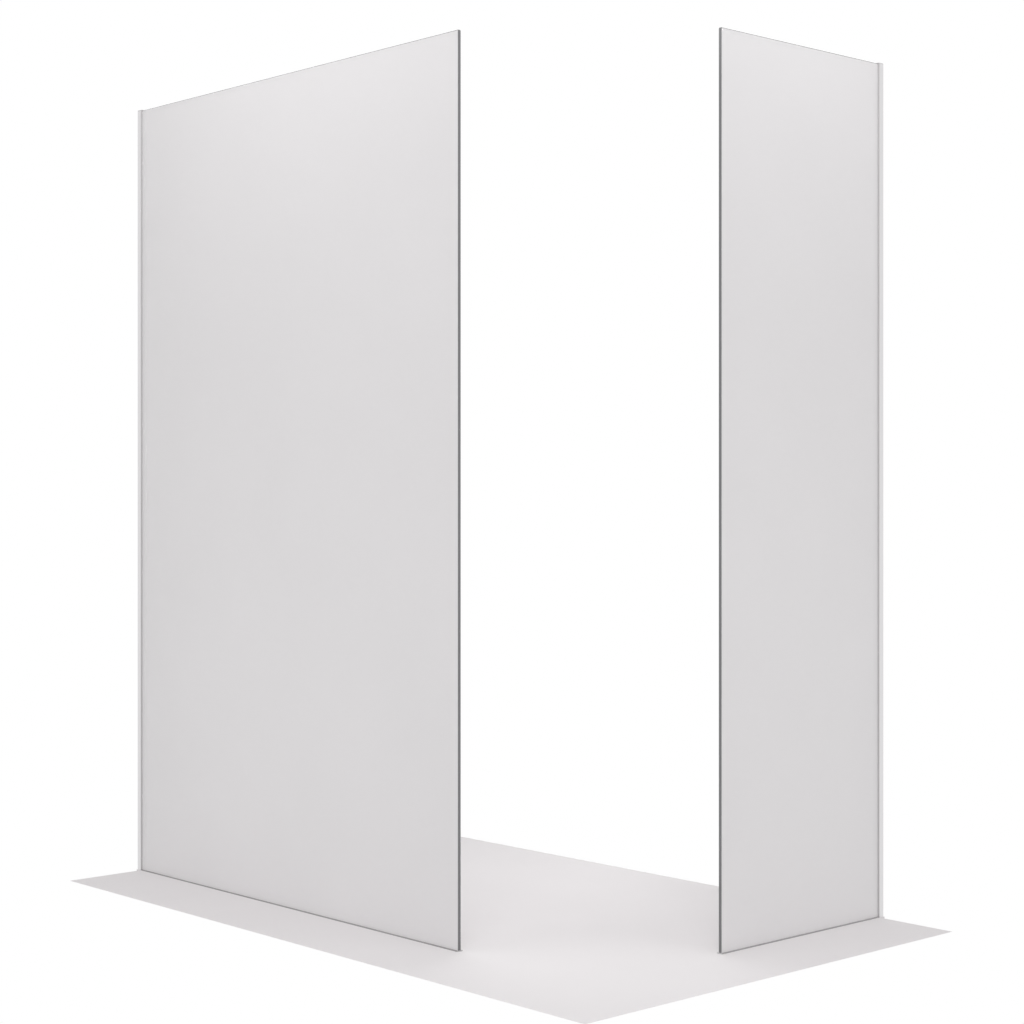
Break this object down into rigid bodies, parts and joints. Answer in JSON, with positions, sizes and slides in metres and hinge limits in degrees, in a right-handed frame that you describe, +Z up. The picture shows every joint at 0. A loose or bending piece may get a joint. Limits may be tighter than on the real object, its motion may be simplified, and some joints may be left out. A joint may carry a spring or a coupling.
{
  "type": "walk-in shower screen",
  "caption": "Corner walk-in shower screen: a long and a short fixed satin glass pane in recessed wall and floor channels, with an open entry between their free edges.",
  "frame": {"origin": "centre of the bounding box's base, on the plane of the floor channels' undersides, which lies 15 mm below the finished floor", "axes": "+X along the long pane from its wall to its free edge, +Y from the long pane back to the wall that holds the short pane, +Z up"},
  "size_m": [1.6886, 0.9736, 2.0165],
  "materials": {
    "satin_glass": "satin etched faces with polished edges",
    "anodised_aluminium": "satin anodised",
    "wall_gasket": "matt light grey",
    "floor_gasket": "matt mid grey",
    "cap_plastic": "fine moulded grain",
    "block_plastic": "plain moulded",
    "stainless_steel": "bright stainless"
  },
  "bodies": {
    "root": {"long_glass_pane": "satin_glass", "long_wall_channel": "anodised_aluminium", "long_floor_channel": "anodised_aluminium", "long_corner_key": "anodised_aluminium", "long_key_screws": "stainless_steel", "long_wall_outer_gasket": "wall_gasket", "long_wall_inner_gasket": "wall_gasket", "long_floor_outer_gasket": "floor_gasket", "long_floor_inner_gasket": "floor_gasket", "long_edge_blocks": "block_plastic", "long_setting_blocks": "block_plastic", "long_wall_top_cap": "cap_plastic", "long_floor_end_cap": "cap_plastic", "short_glass_pane": "satin_glass", "short_wall_channel": "anodised_aluminium", "short_floor_channel": "anodised_aluminium", "short_corner_key": "anodised_aluminium", "short_key_screws": "stainless_steel", "short_wall_outer_gasket": "wall_gasket", "short_wall_inner_gasket": "wall_gasket", "short_floor_outer_gasket": "floor_gasket", "short_floor_inner_gasket": "floor_gasket", "short_edge_blocks": "block_plastic", "short_setting_blocks": "block_plastic", "short_wall_top_cap": "cap_plastic", "short_floor_end_cap": "cap_plastic"}
  },
  "joints": []
}
